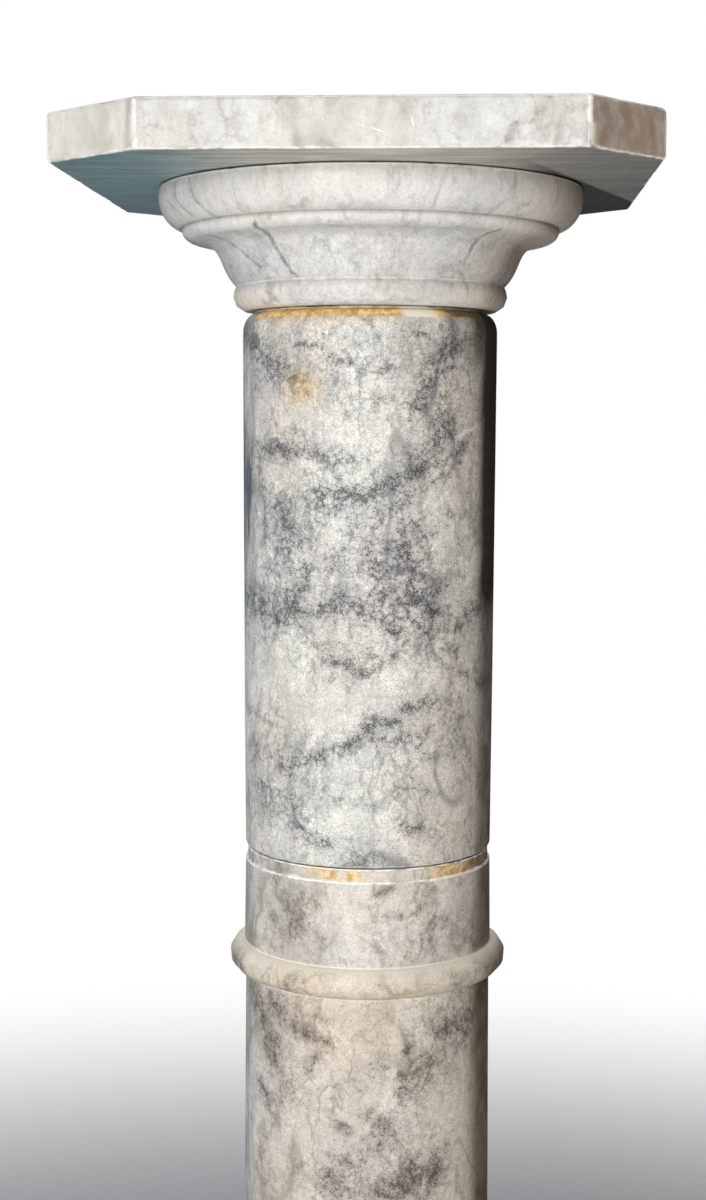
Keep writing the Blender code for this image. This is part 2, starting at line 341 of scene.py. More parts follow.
def brush(points, node, strokes, seed, sway=5, radius=SHAFT_RADIUS):
    """The darkest of all strokes at each point, each fading as exp(-(distance / width)^2).

    The distance is measured on the unrolled drum, to the nearest spot of the stroke's line. A fainter
    halo of the same form, 2.6 times as wide, goes round it. Strokes beyond 180 degrees lie on the
    back, where the angles count on past 180 and don't jump to the other sign.
    """
    angle, up, _ = unrolled(points, node)
    if strokes[0][2][0] > 100:
        angle = angle % 360
    round_mm = 2 * np.pi * radius / 360
    across = angle * round_mm + (clouds(points, 16 * MM, seed) - 0.5) * 2 * sway
    across += (clouds(points, 4 * MM, seed + 60) - 0.5) * 1.8
    up = up + (clouds(points, 16 * MM, seed + 20) - 0.5) * 2 * sway
    uneven = 0.7 + 0.6 * clouds(points, 9 * MM, seed + 40)
    total = np.zeros(angle.shape)
    for width, strength, *stops in strokes:
        line = np.array(stops, float) * (round_mm, 1)
        for (a0, b0), (a1, b1) in zip(line, line[1:]):
            long_a, long_b = a1 - a0, b1 - b0
            t = ((across - a0) * long_a + (up - b0) * long_b) / (long_a**2 + long_b**2)
            t = np.clip(t, 0, 1)
            gap = np.hypot(across - a0 - t * long_a, up - b0 - t * long_b) / (width * uneven)
            core = np.exp(-(gap**2))
            halo = 0.5 * (1 - core) * np.exp(-((gap / 2.6) ** 2))
            total = np.maximum(total, strength * (core + halo))
    return total


def back_strokes(height, count, seed):
    """Strokes for the side that can't be seen: they start at random and climb or fall at a slant."""
    chance = np.random.default_rng(seed)
    strokes = []
    for _ in range(count):
        turns = chance.uniform(100, 215) + np.cumsum(chance.uniform(5, 14, 4))
        rise = np.cumsum(chance.uniform(-14, 16, 4)) + chance.uniform(0.05, 0.95) * height
        strokes.append((chance.uniform(2.5, 8), chance.uniform(0.5, 0.95), *zip(turns, rise)))
    return strokes


def veins_all_round(points, node, front, back, seed):
    """The front's chosen strokes and the back's random ones, whichever is darker."""
    return np.maximum(brush(points, node, front, seed), brush(points, node, back, seed))


# %% [markdown]
# ## The capital
# The capital is one turned stone: a fat quarter-round under the slab, a small bead, a hollow that
# draws in to the shaft's width, and a low roll at the foot. Its edges are soft with handling.

# %% The capital
capital, capital_points = turned_stone("turned_capital", "capital", 320, 0.5 * MM, 0.5 * MM, 11)
capital_lines = [
    (1.5, 0.6, (-81, 67), (-81, 59), (-81, 50)),  # steep veins, left on the quarter-round
    (1.3, 0.65, (-66, 62), (-66, 55), (-61, 46)),
    (1.4, 0.75, (-58, 64), (-59, 56), (-55, 45)),
    (1.4, 0.75, (-50, 63), (-49, 52), (-46, 44)),
    (2.2, 0.5, (-35, 54), (-34, 48)),
    (2.4, 0.6, (-32, 39), (-30, 41), (-27, 40)),
    (1.4, 1, (-33, 38), (-34, 29), (-29, 16), (-27, 12)),  # the vein down the hollow
    (1.5, 0.8, (-60, 36), (-48, 25), (-44, 19)),
    (4, 0.5, (-3, 33), (-4, 23), (-2, 17)),
    (1.6, 0.8, (-45, 9), (-39, 3)),
    (1.6, 0.7, (-52, 9), (-47, 2)),
    (1.6, 0.4, (-26, 65), (-25, 48)),
    (1.6, 0.4, (-16, 62), (-15, 43)),
    (1.5, 0.6, (42, 62), (40, 50), (37, 44)),
    (1.5, 0.5, (18, 60), (17, 50), (16, 42)),
    (2.4, 0.6, (17, 42), (17, 37)),
    (4, 0.3, (55, 56), (58, 45)),
    (1.5, 0.9, (45, 36), (42, 30), (40, 22)),  # and the one opposite
    (4, 0.35, (22, 20), (26, 13), (25, 4)),
    (5, 0.3, (32, 19), (40, 18)),
    (2, 0.45, (67, 37), (57, 21), (54, 15)),
    (1.5, 0.5, (66, 62), (62, 52), (64, 44)),
]
line = brush(capital_points, "capital", capital_lines, 47, 2.4, CAPITAL_RADIUS)
back = brush(capital_points, "capital", back_strokes(65, 14, 45), 48, 3, CAPITAL_RADIUS)
mark(capital, "line", np.maximum(line, 0.7 * back))

# %% The capital's clouds, and its painted light and shade
angle, up_mm, down_mm = unrolled(capital_points, "capital")
foot_roll = soft_drop(up_mm, 10, 12)
in_hollow = between(up_mm, 9, 16, 33, 40) * (0.17 + 0.24 * clouds(capital_points, 14 * MM, 49))
mark(capital, "vein", 0.22 * foot_roll * soft_drop(np.abs(angle), 20, 40) + in_hollow)
roll_ends = 0.8 * foot_roll * soft_step(np.abs(angle), 22, 50)
# A creamy tone at both ends of the foot roll, and painted warm light on the right side.
mark(capital, "cream_and_warm_light", np.maximum(roll_ends, 0.4 * soft_step(angle, 30, 60)))
# Painted shade at the far left, in blue-grey streaks, and browner at the far right.
mark(capital, "flank", 0.5 * between(-angle, 70, 84, 100, 120))
mark(capital, "painted_brown_shade", 0.45 * between(angle, 52, 74, 100, 120))

# %% [markdown]
# ## The upper drum
# The longest stone of the shaft. Dark clouds sit on its left edge, a granular band climbs to the
# right across the middle, and a thinner one crosses low down. The neck under the capital is stained
# honey yellow by the wax or glue in the joint, with a pale chipped patch to the right of the middle.

# %% The upper drum
upper_drum, upper_points = turned_stone("upper_shaft", "upper_drum", 300, 1.06 * MM, 0.8 * MM, 21)
upper_strokes = [
    (7, 0.92, (-76, 284), (-55, 273), (-34, 256)),  # the cloud at the left shoulder
    (2, 0.6, (-30, 270), (-16, 270), (-1, 257), (10, 262)),
    (6.5, 0.9, (42, 270), (32, 258), (25, 243)),  # the knot right of the middle
    (2.5, 0.6, (20, 280), (34, 272), (42, 268), (60, 282)),
    (3.5, 0.75, (-58, 217), (-40, 218), (-19, 214), (-3, 215)),
    (6, 0.9, (38, 232), (31, 217), (20, 204), (-2, 196), (-18, 190)),  # the climbing band
    (3.5, 0.55, (53, 229), (42, 208), (30, 196), (10, 188), (-6, 182)),
    (8, 0.64, (-44, 190), (-29, 173), (-42, 160)),
    (2, 0.4, (41, 187), (34, 175), (24, 172)),
    (11, 0.85, (18, 164), (22, 147), (30, 132)),  # the darkest grains
    (4, 0.8, (-22, 137), (-9, 142), (4, 137), (18, 123)),  # the soft grey band
    (8, 0.85, (-74, 138), (-50, 137), (-33, 134)),
    (5, 0.75, (-25, 158), (-30, 146)),
    (2.2, 0.8, (-17, 110), (-5, 108), (4, 102), (17, 116)),
    (5, 0.7, (74, 140), (58, 136), (45, 126)),
    (3, 0.55, (41, 115), (46, 106), (66, 95)),
    (2.6, 0.8, (-41, 51), (-17, 59), (-5, 66), (7, 77), (19, 85), (33, 87)),  # the low slant
    (2, 0.6, (-5, 64), (7, 69), (21, 70), (30, 73)),
    (7, 0.5, (-62, 52), (-46, 56), (-28, 54)),
    (2.2, 0.5, (47, 88), (50, 61), (59, 48)),
    (2, 0.45, (26, 70), (28, 59), (45, 56)),
    (6, 0.6, (-55, 40), (-42, 28), (-33, 34)),
    (3.5, 0.7, (-33, 23), (-23, 13), (-14, 12)),
    (2.5, 0.9, (18, 24), (22, 18), (29, 19)),
    (5, 0.6, (-4, 4), (6, 2)),
    (6, 0.7, (3, 164), (10, 150), (3, 138)),
    (4, 0.6, (-1, 176), (-7, 162), (-15, 151)),
    (6, 0.5, (-80, 228), (-76, 200), (-78, 150), (-79, 120)),  # the dusky left side
    (17, 0.28, (-52, 262), (-4, 268), (40, 258)),  # wide soft smoke, here and behind the band
    (15, 0.28, (40, 238), (22, 214), (-6, 196)),
    (16, 0.28, (-50, 186), (-32, 160), (-46, 136)),
    (15, 0.28, (24, 172), (10, 150), (26, 124)),
    (9, 0.32, (-14, 250), (0, 243), (18, 247)),
    (8, 0.28, (-16, 118), (2, 114)),
    (10, 0.22, (-60, 230), (-20, 216)),
    (5, 0.5, (-56, 206), (-47, 188), (-50, 172)),
    (1.5, 0.28, (52, 176), (46, 160), (34, 150)),
    (1.8, 0.4, (42, 206), (32, 203), (18, 200)),
    (1.5, 0.42, (-16, 196), (-24, 206), (-30, 226)),
    (1.6, 0.32, (18, 148), (19, 172), (12, 190)),
    (1.8, 0.42, (42, 104), (28, 118), (6, 112), (-12, 122), (-34, 112)),
    (1.6, 0.42, (54, 128), (40, 122), (44, 98), (40, 78)),
    (1.6, 0.45, (-60, 78), (-38, 70), (-30, 52)),
    (1.6, 0.42, (38, 40), (20, 44), (6, 34), (-12, 38)),
]
back = back_strokes(290, 24, 5)
vein = veins_all_round(upper_points, "upper_drum", upper_strokes, back, 31)
mark(upper_drum, "vein", vein)
# Painted warm light on the right side, in a creamy tone.
mark(upper_drum, "cream_and_warm_light", 0.3 * between(unrolled(upper_points, "upper_drum")[0], 5, 45, 90, 130))
print("veins cover", round(float((vein > 0.4).mean()) * 100), "% of the upper drum")

# %% Honey, filler and a scratch on the upper drum
NECK = 5.4      # mm from the drum's top to the lower rim of its stained neck
angle, up_mm, down_mm = unrolled(upper_points, "upper_drum")
ragged = (clouds(upper_points, 6 * MM, 51) - 0.5) * 3
honey = soft_drop(down_mm - ragged * 0.35, NECK - 0.8, NECK + 0.8)
honey = honey * soft_step(angle, -70, -56) * soft_drop(angle - ragged, 60, 70)
bleed = 0.35 * soft_drop(down_mm - ragged, 4, 13) * between(angle, -55, -35, 0, 30)
spot = 0.45 * np.exp(-(((angle + 27) * 1.2 / 11) ** 2) - ((up_mm - 250) / 9) ** 2)
mark(upper_drum, "stain", np.maximum(honey, np.maximum(bleed, spot)))
patch = soft_drop(down_mm - ragged * 0.9, NECK - 0.2, NECK + 0.8) * soft_step(angle + ragged * 2, 17, 20)
patch = patch * soft_drop(angle - ragged * 3, 31, 35)
scratch = [(0.7, 0.9, (46, 225), (50, 228), (54, 229), (58, 231))]
scratch = brush(upper_points, "upper_drum", scratch, 33, 0.6)
mark(upper_drum, "filler_and_highlight", np.maximum(patch, scratch))

# %% Painted shade on the upper drum
# The honey band is painted browner at both ends, where it turns into the shade, and along its lower rim:
# painted shade.
honey_ends = np.maximum(soft_step(ragged * 2 - angle, 58, 66), soft_step(angle + ragged * 3, 33, 46))
rim = 0.5 * np.exp(-(((down_mm - NECK) / 0.7) ** 2)) * clouds(upper_points, 8 * MM, 53)
joint_shade = honey * np.maximum(honey_ends, rim)
# Painted shade down the left flank, strongest at middle height, and on the right shoulder under the
# capital.
left_dusk = 0.12 + 1.5 * np.exp(-(((up_mm - 195) / 34) ** 2))
left_dusk = left_dusk * flank_of(upper_points, "upper_drum", -1, 55)
shoulder = 0.6 * soft_step(up_mm, 215, 245) * flank_of(upper_points, "upper_drum", 1, 54)
mark(upper_drum, "flank", np.maximum(left_dusk, shoulder))
# Painted brownish shade down the right flank, deeper higher up and darkest at the top.
right_dusk = (0.7 + 0.9 * soft_step(up_mm, 130, 150)) * flank_of(upper_points, "upper_drum", 1, 56)
top_dusk = 0.95 * soft_step(up_mm, 248, 272) * flank_of(upper_points, "upper_drum", 1, 45)
right_dusk = np.maximum(np.minimum(right_dusk, 1.15), top_dusk)
mark(upper_drum, "painted_brown_shade", np.maximum(joint_shade, right_dusk))

# %% [markdown]
# ## The collar
# A short stone with a sunk band at its top, where the drum above sits, a plain face, and a half-round
# ring at its foot that hides the joint below. The rim of the sunk band and the quirk over the ring
# show as bright lines, which are painted highlights: the worn-edge white at full strength on the rim,
# and the filler white along the quirk.

# %% The collar
collar, collar_points = turned_stone("ringed_collar", "collar", 320, 0.5 * MM, 0.6 * MM, 61)
collar_strokes = [
    (6, 0.7, (-37, 47), (-27, 42), (-31, 35)),
    (3.5, 0.5, (-44, 35), (-38, 30)),
    (3.5, 0.5, (-19, 32), (-16, 24)),
    (1.8, 0.8, (10, 58), (14, 59)),
    (2.2, 0.6, (13, 43), (21, 45), (30, 51), (34, 56)),
    (2.5, 0.6, (32, 45), (42, 41), (38, 34), (33, 38)),
    (3, 0.6, (30, 55), (31, 36), (33, 23)),
    (5, 0.5, (46, 31), (61, 22)),
    (2.5, 0.3, (-56, 57), (-54, 44)),
    (10, 0.28, (8, 30), (30, 32), (56, 38)),
    (2, 0.6, (-33, 4), (-29, 11), (-23, 12)),  # from here on the ring
    (3, 0.5, (-18, 13), (-14, 11)),
    (2.5, 0.5, (3, 9), (6, 10)),
    (2, 0.3, (13, 7), (28, 5)),
    (3, 0.5, (37, 14), (42, 8), (47, 9)),
    (3, 0.6, (55, 13), (63, 9)),
    (3, 0.9, (-68, 13), (-62, 10), (-61, 6)),
]
vein = veins_all_round(collar_points, "collar", collar_strokes, back_strokes(60, 7, 15), 71)
mark(collar, "vein", vein)

# %% Gold flecks, painted highlights and painted shade on the collar
LEDGE_UP = 15.84      # mm from the foot to the narrow ledge on top of the half-round ring
SUNK = 6.6      # mm from the top to the rim of the sunk band
angle, up_mm, down_mm = unrolled(collar_points, "collar")
ragged = (clouds(collar_points, 6 * MM, 81) - 0.5) * 3
sunk = soft_drop(down_mm, SUNK - 0.6, SUNK + 0.6)
flecks = sunk * soft_step(clouds(collar_points, 3 * MM, 85), 0.28, 0.52)
gold_left = 0.95 * soft_step(angle + ragged * 4, -32, -18) * soft_drop(angle - ragged * 4, -8, 8)
gold_right = soft_step(angle + ragged * 4, 26, 40) * soft_drop(angle - ragged * 4, 58, 70)
on_ring = soft_step(down_mm, 52, 55)
ring_warm = 0.22 * on_ring * soft_step(clouds(collar_points, 14 * MM, 83), 0.5, 0.75)
mark(collar, "stain", np.maximum(flecks * np.maximum(gold_left, gold_right), ring_warm))
# Painted shade in the joint under the drum above, stronger on the right, in the right end of the sunk
# band, and down the right flank.
joint_dark = soft_drop(down_mm, 0.3, 2.0) * soft_step(clouds(collar_points, 4 * MM, 87), 0.35, 0.6)
joint_dark = joint_dark * (0.35 + 0.65 * soft_step(angle, 25, 45)) * soft_step(angle, -75, -50)
joint_shade = 0.7 * sunk * soft_step(angle + ragged * 4, 48, 64) * soft_drop(angle, 70, 85)
right_dusk = 0.75 * flank_of(collar_points, "collar", 1, 55)
mark(collar, "painted_brown_shade", np.maximum(np.maximum(joint_shade, joint_dark), right_dusk))
# Painted shade down the left flank.
mark(collar, "flank", 0.5 * flank_of(collar_points, "collar", -1, 57))
# The ring in a creamy tone all round, and painted warm light on the right side.
mark(collar, "cream_and_warm_light", np.maximum(0.9 * on_ring, 0.35 * soft_step(angle, 0, 45)))
# The ring's upper part is painted paler as painted light, and the ledge on top of it white as a painted
# highlight.
ledge = np.exp(-(((up_mm - LEDGE_UP) / 0.75) ** 2))
mark(collar, "filler_and_highlight", np.maximum(0.45 * between(up_mm, 9, 15, 16.2, 17.5), ledge))

# %% [markdown]
# ## The lower drum
# The same turning again, in a pinker stone with brown-grey clouds. Its top carries a pale healed
# crack. What the brush lays below the first third is a guess in keeping with the part above.

# %% The lower drum
lower_drum, lower_points = turned_stone("lower_shaft", "lower_drum", 304, 1.6 * MM, 0.7 * MM, 91)
lower_strokes = [
    (5, 0.75, (-62, 444), (-55, 434), (-47, 424), (-44, 415)),  # the dusky left shoulder
    (4, 0.7, (-45, 443), (-39, 437)),
    (2, 0.8, (-34, 433), (-25, 429), (-17, 427)),
    (2.2, 0.3, (-30, 441), (-15, 438), (-9, 439)),
    (3, 0.95, (-20, 416), (-22, 410)),
    (4, 0.8, (-55, 393), (-49, 388)),
    (8, 0.3, (-43, 407), (-32, 400), (-37, 393)),
    (5.5, 0.85, (38, 431), (48, 433), (55, 428)),
    (12, 0.5, (53, 427), (42, 420), (29, 413), (21, 404)),  # the smoke on the right
    (5, 0.95, (31, 413), (25, 408), (21, 404)),
    (4, 0.7, (31, 406), (25, 402)),
    (2.2, 0.8, (24, 425), (23, 421)),
    (2, 0.7, (11, 409), (14, 410)),
    (5.5, 0.8, (8, 385), (9, 380), (10, 377)),
    (9, 0.32, (4, 377), (14, 373), (21, 380)),
    (2, 0.8, (-10, 380), (-6, 378)),
    (4.5, 0.75, (-12, 355), (-10, 350), (-8, 345)),
    (3, 0.7, (-9, 363), (-7, 358)),
    (7, 1.0, (34, 354), (26, 350), (17, 348), (12, 343)),
    (5, 0.8, (23, 360), (33, 347), (28, 340)),
    (4, 0.25, (-51, 342), (-32, 352), (-26, 346)),
    (4, 0.4, (-51, 366), (-53, 352)),
    (7, 0.8, (-60, 300), (-38, 312), (-15, 296), (6, 300)),
    (6, 0.8, (48, 270), (30, 250), (8, 238), (-12, 222)),
    (4, 0.8, (-66, 220), (-44, 204), (-26, 196)),
    (8, 0.85, (20, 170), (38, 186), (58, 190)),
    (5, 0.8, (-30, 130), (-8, 142), (16, 128), (30, 108)),
    (7, 0.8, (-70, 90), (-48, 76), (-28, 66)),
    (5, 0.8, (50, 60), (30, 44), (6, 36), (-14, 22)),
]
back = back_strokes(445, 32, 25)
mark(lower_drum, "vein", veins_all_round(lower_points, "lower_drum", lower_strokes, back, 101))
mark(lower_drum, "stain", 0.10 * soft_step(clouds(lower_points, 60 * MM, 105), 0.5, 0.8))
# Painted shade down the left flank, and browner down the right flank.
mark(lower_drum, "flank", 0.6 * flank_of(lower_points, "lower_drum", -1, 57))
mark(lower_drum, "painted_brown_shade", 0.85 * flank_of(lower_points, "lower_drum", 1, 53))
# Painted warm light on the right side, in a creamy tone.
mark(lower_drum, "cream_and_warm_light", 0.55 * between(unrolled(lower_points, "lower_drum")[0], -5, 40, 90, 130))
crack = [(1, 0.8, (18, 450), (16, 433), (15, 419), (14, 403), (9, 390), (3, 381), (-2, 375))]
mark(lower_drum, "filler_and_highlight", 0.55 * brush(lower_points, "lower_drum", crack, 107, 1.2))

# %% [markdown]
# ## The foot and the plinth
# The photograph stops above them. Such a column stands on a turned foot, a hollow that spreads into a
# half-round ring, and on an octagonal plinth that echoes the slab, so they are made that way.

# %% The turned foot
base, _ = turned_stone("turned_foot", "base_moulding", 320, 0.75 * MM, 0.9 * MM, 111)

# %% [markdown]
# ## The octagonal slabs
# The slab was sawn square, and then its corners were cut off by hand, no two of them alike. The edges
# are rubbed round and chipped. Rings are a good skin here too: each ring is the slab's plan, drawn in
# by a little more as it goes round the edge, and then shrunk towards the middle of the flat faces.

# %% An octagonal slab
SLAB_WAVE = 0.5 * MM


def cut_square(low, high, cuts):
    """The eight corners, anticlockwise. Each cut is a length along X and one along Y."""
    corners = []
    for (side_x, side_y), (cut_x, cut_y) in zip(((-1, -1), (1, -1), (1, 1), (-1, 1)), cuts):
        x, y = (high.x if side_x > 0 else low.x), (high.y if side_y > 0 else low.y)
        on_side, on_front = (x, y - side_y * cut_y), (x - side_x * cut_x, y)
        corners += [on_side, on_front] if side_x * side_y > 0 else [on_front, on_side]
    return np.array(corners)


def rounded_plan(corners, radius, spacing):
    """Points round the plan, which way is out at each, and how near a corner is.

    Each corner becomes an arc: centre + radius * (cos f, sin f), with f between the two sides' own.
    """
    way = np.roll(corners, -1, axis=0) - corners
    length = np.linalg.norm(way, axis=1)
    way /= length[:, None]
    out = np.stack([way[:, 1], -way[:, 0]], axis=-1)
    plan, outward, corner = [], [], []
    for k in range(8):
        before, after = out[k - 1], out[k]
        centre = corners[k] - radius * (before + after) / (1 + before @ after)
        swing = np.arccos(before @ after)
        fan = np.arctan2(before[1], before[0]) + np.linspace(0, swing, 7)
        fan = np.stack([np.cos(fan), np.sin(fan)], axis=-1)
        bow = centre + radius * fan
        back_off = radius * np.tan(swing / 2)
        next_off = radius * np.tan(np.arccos(after @ out[(k + 1) % 8]) / 2)
        run = length[k] - back_off - next_off
        spots = np.linspace(0, run, int(run / spacing) + 2)[1:-1]
        spots = np.unique(np.concatenate([spots, [0.7 * MM, run - 0.7 * MM]]))
        side = bow[-1] + way[k] * spots[:, None]
        plan += [bow, side]
        outward += [fan, np.repeat(after[None], len(side), 0)]
        near = np.exp(-((np.minimum(spots, run - spots) / (1.0 * MM)) ** 2))
        corner += [np.ones(len(bow)), near]
    return np.concatenate(plan), np.concatenate(outward), np.concatenate(corner)


def slab_stone(name, node, cuts, edge, spacing, rows, chip, seed):
    """Rings down the slab: the flat top, a quarter circle round the edge, the side, and back in."""
    low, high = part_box(node)
    plan, out, corner = rounded_plan(cut_square(low, high, cuts), edge, spacing)
    middle = plan.mean(0)
    fan = np.linspace(np.pi / 2, 0, 7)
    side = np.linspace(high.z - edge, low.z + edge, 18)[1:-1]
    drop = edge * (1 - np.sin(fan))
    level = np.concatenate([high.z - drop, side, low.z + drop[::-1]])
    tilt = np.concatenate([fan, 0 * side, -fan[::-1]])
    band = plan - out * (edge * (1 - np.cos(tilt)))[:, None, None]
    shrink = np.concatenate([np.linspace(0.03, 0.97, rows), [0.985, 0.995]])
    flat = middle + (plan - out * edge - middle) * shrink[:, None, None]
    ones = np.ones(len(shrink))
    level = np.concatenate([high.z * ones, level, low.z * ones])
    tilt = np.concatenate([np.pi / 2 * ones, tilt, -np.pi / 2 * ones])

    def raised(plane, height):
        tall = np.broadcast_to(height[:, None, None], plane.shape[:2] + (1,))
        return np.concatenate([plane, tall], axis=-1)

    points = raised(np.concatenate([flat, band, flat[::-1]]), level)
    outward = raised(np.cos(tilt)[:, None, None] * out, np.sin(tilt))
    to_edge = np.minimum(np.abs(level - high.z + edge * 0.3), np.abs(level - low.z - edge * 0.3))
    on_band = (np.cos(tilt) > 0.05)[:, None]
    arris = on_band * np.maximum(np.exp(-((to_edge / (0.8 * MM)) ** 2))[:, None], corner)
    knocked = soft_step(clouds(points, 8 * MM, seed), 0.58, 0.74)
    depth = SLAB_WAVE * clouds(points, 28 * MM, seed + 9) + chip * arris * knocked
    points = points - outward * depth[..., None]
    top, bottom = (*middle, points[0, :, 2].mean()), (*middle, points[-1, :, 2].mean())
    piece = skin(name, points, top, bottom)
    mark(piece, "edge", arris * (1 - 0.4 * knocked))
    mark(piece, "knock", arris * knocked)
    mark(piece, "under", soft_step(-np.sin(tilt), 0.4, 0.95)[:, None] * np.ones(arris.shape))
    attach(piece, "root")
    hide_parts(node)
    return piece, points


# %% The slab
SLAB_CUTS = np.array([(50.6, 43.6), (38.6, 42.7), (47.8, 50.6), (43.5, 44.0)]) * MM
slab, slab_points = slab_stone(
    "octagon_slab", "top_slab", SLAB_CUTS, 2.4 * MM, 1.8 * MM, 26, 1.1 * MM, 121
)
slab_lines = [
    (2, 0.55, (-33, 17), (-33, 13), (-31, 11)),
    (2.6, 0.6, (-26, 17), (-26, 10), (-26, 3)),
    (2.2, 0.5, (-25, 19), (-25, 12)),
    (2.4, 0.55, (-22, 20), (-21, 12), (-21, 5)),
    (3, 0.5, (-12, 23), (-13, 18), (-13, 10), (-13, 2)),
    (1.8, 0.45, (-2, 20), (-2, 14), (-3, 8)),
    (2.4, 0.4, (-29, 6), (-30, 2)),
    (2, 0.45, (-48, 21), (-48, 16), (-50, 8), (-51, 2)),  # the left cut
    (2.6, 0.5, (-38, 23), (-36, 18), (-36, 12)),
    (1.6, 0.45, (-44, 12), (-44, 5), (-41, 1)),
    (1.8, 0.45, (-38, 11), (-40, 2)),
    (2.6, 0.45, (2, 23), (2, 15)),
    (2.6, 0.55, (13, 20), (12, 12)),
    (3.2, 0.5, (18, 17), (17, 7), (18, 3)),
    (1.8, 0.8, (26, 12), (25, 3)),
    (2.4, 0.7, (30, 23), (29, 15), (28, 12)),
    (3, 0.55, (32, 15), (30, 11), (29, 3)),
    (4, 0.45, (23, 22), (25, 12), (24, 7)),
    (3, 0.5, (33, 19), (32, 9)),
    (3, 0.95, (38, 20), (40, 12), (38, 4)),  # the right cut
    (3, 0.95, (43, 19), (44, 12)),
    (3, 0.9, (49, 20), (50, 6)),
]
line = brush(slab_points, "top_slab", slab_lines, 123, 2, SLAB_RADIUS)
back = brush(slab_points, "top_slab", back_strokes(25, 26, 65), 124, 3, SLAB_RADIUS)
angle, up_mm, down_mm = unrolled(slab_points, "top_slab")
on_side = soft_step(up_mm, 0.6, 1.4) * soft_step(down_mm, 0.6, 1.4)
mark(slab, "line", np.maximum(line, 0.6 * back) * on_side)
# The right cut is painted browner as painted shade, and the left cut paler with the filler white.
right_cut = between(angle, 35.4, 36.0, 52.8, 53.6) * on_side
mark(slab, "painted_brown_shade", right_cut * (0.6 + 0.4 * soft_step(clouds(slab_points, 5 * MM, 125), 0.35, 0.65)))
mark(slab, "filler_and_highlight", 0.35 * between(-angle, 35, 36, 53, 55) * on_side)

# %% The plinth
plinth, _ = slab_stone(
    "octagon_plinth", "plinth", [(45 * MM, 45 * MM)] * 4, 3.0 * MM, 2.4 * MM, 16, 1.6 * MM, 131
)

# %% [markdown]
# ## Building with nodes
# Marble isn't a picture wrapped on the stone, it runs through it. So each material is worked out from
# the place of a point in space, and a vein that leaves one face carries on round the corner. A few
# short helpers keep the node trees readable.

# %% Node helpers


def put(tree, kind, inputs=None, **settings):
    """Add a node, set its options, and give each named input a value or the socket that feeds it."""
    made = tree.nodes.new(kind)
    for name, value in settings.items():
        setattr(made, name, value)
    for name, value in (inputs or {}).items():
        if isinstance(value, bpy.types.NodeSocket):
            tree.links.new(value, made.inputs[name])
        else:
            made.inputs[name].default_value = value
    return made


def maths(tree, operation, first, second=0.0, **settings):
    made = put(tree, "ShaderNodeMath", {0: first, 1: second}, operation=operation, **settings)
    return made.outputs[0]


def times(tree, first, second, **settings):
    return maths(tree, "MULTIPLY", first, second, **settings)


def plus(tree, first, second):
    return maths(tree, "ADD", first, second)


def minus(tree, first, second):
    return maths(tree, "SUBTRACT", first, second)


def vector(tree, operation, inputs, output=0):
    return put(tree, "ShaderNodeVectorMath", inputs, operation=operation).outputs[output]


def fade(tree, value, low, high, start=0.0, end=1.0):
    """Start below low, end above high, and a smooth change between them."""
    sockets = {"Value": value, "From Min": low, "From Max": high, "To Min": start, "To Max": end}
    return put(tree, "ShaderNodeMapRange", sockets, interpolation_type="SMOOTHSTEP").outputs[0]


def noise(tree, place, scale, detail=2.0, rough=0.5, output=0):
    """Noise from 0 to 1; output 1 is its three-number colour."""
    sockets = {"Vector": place, "Scale": scale, "Detail": detail, "Roughness": rough}
    return put(tree, "ShaderNodeTexNoise", sockets).outputs[output]


def stretched(tree, place, scale):
    return put(tree, "ShaderNodeMapping", {"Vector": place, "Scale": scale}).outputs[0]


def mix(tree, amount, under, over, way="MIX"):
    made = put(tree, "ShaderNodeMix", {0: amount, 6: under, 7: over}, data_type="RGBA", blend_type=way)
    return made.outputs[2]


def shaded(tree, colour, light):
    """A colour times one number for all three of its parts."""
    grey = put(tree, "ShaderNodeCombineColor", {0: light, 1: light, 2: light}).outputs[0]
    return mix(tree, 1.0, colour, grey, "MULTIPLY")


def new_group(name, inputs, output):
    """A node group that reads a place and more named inputs; returns it, its inputs and its output."""
    tree = bpy.data.node_groups.new(name, "ShaderNodeTree")
    for label, value in {"Place": (0.0, 0.0, 0.0), **inputs}.items():
        kind = "NodeSocketVector" if isinstance(value, tuple) else "NodeSocketFloat"
        tree.interface.new_socket(label, in_out="INPUT", socket_type=kind).default_value = value
    tree.interface.new_socket(output, in_out="OUTPUT", socket_type="NodeSocketFloat")
    entry = tree.nodes.new("NodeGroupInput")
    return tree, entry.outputs, tree.nodes.new("NodeGroupOutput").inputs[0]


def use(tree, group, inputs):
    return put(tree, "ShaderNodeGroup", inputs, node_tree=group).outputs[0]


# %% [markdown]
# ## Effects that the stones share
# - Clouds are the broad patches where marble is greyer or warmer.
# - Threads are the thin wandering veins. They are the places where a noise crosses its middle value,
#   pushed about by a second noise, and broken off where a third one is low.
# - A net of soft lines runs between the pale lumps of this marble. It is the edges of random cells,
#   bent by a noise.
# - Crumbs are the dark grains that gather in a vein: fine noise above a level that drops as the vein
#   gets stronger.
# - A sheet is one chosen vein or crack. In the rock a vein is a thin wavy sheet, and what shows is
#   where the stone's surface cuts it.
# - Worn edges and the fine skin of the old polish finish it.

# %% Clouds and threads


def pushed(tree, place, scale, reach, detail, rough=0.5):
    """The place, moved by a noise of its own size by up to about half the reach each way."""
    push = noise(tree, place, scale, detail, rough, output=1)
    push = vector(tree, "SUBTRACT", {0: push, 1: (0.5, 0.5, 0.5)})
    push = vector(tree, "SCALE", {0: push, "Scale": reach})
    return vector(tree, "ADD", {0: place, 1: push})


